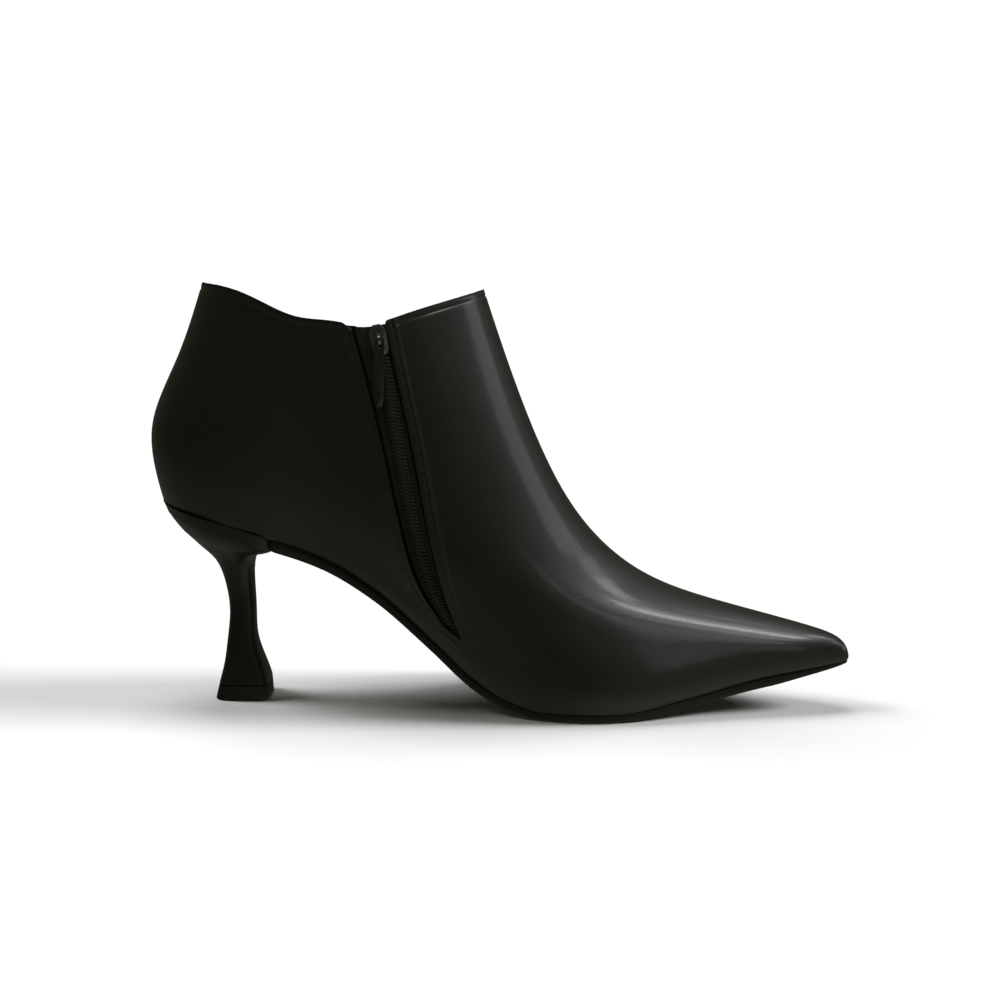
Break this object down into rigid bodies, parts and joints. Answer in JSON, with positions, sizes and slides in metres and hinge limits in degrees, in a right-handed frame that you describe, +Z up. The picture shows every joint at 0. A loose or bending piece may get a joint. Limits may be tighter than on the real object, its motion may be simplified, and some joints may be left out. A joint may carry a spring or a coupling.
{
  "type": "ankle boot",
  "caption": "Left ankle boot in smooth black leather with a pointed toe, a dipped collar, an exposed zip on the inner side and a slim flared heel.",
  "frame": {"origin": "on the floor, under the middle of the boot's bounding box", "axes": "+X from the heel to the toe, -Y to the inner side with the zip, +Z up"},
  "size_m": [0.2493, 0.0743, 0.148],
  "materials": {
    "upper_leather": "smooth black leather with a satin polish",
    "heel_cover": "smooth black leather cover, satin",
    "sole_rubber": "matt black",
    "lift_rubber": "matt black",
    "sock_leather": "matt dark lining",
    "tape_fabric": "woven black tape",
    "teeth_nylon": "black coil",
    "slider_metal": "dark plated, worn bright at its edges",
    "pull_metal": "dark plated"
  },
  "bodies": {
    "boot": {"upper": "upper_leather", "outsole": "sole_rubber", "insole": "sock_leather", "heel": "heel_cover", "top_lift": "lift_rubber", "zip_tape": "tape_fabric", "zip_chain": "teeth_nylon", "zip_slider": "slider_metal"},
    "pull_tab": {"zip_pull": "pull_metal"}
  },
  "joints": [
    {"name": "pull_swing", "type": "hinge", "parent": "boot", "child": "pull_tab", "pos_m": [-0.04227, -0.03266, 0.13032], "axis": [-0.9964, -0.085, 0], "range_deg": [0, 150]}
  ]
}
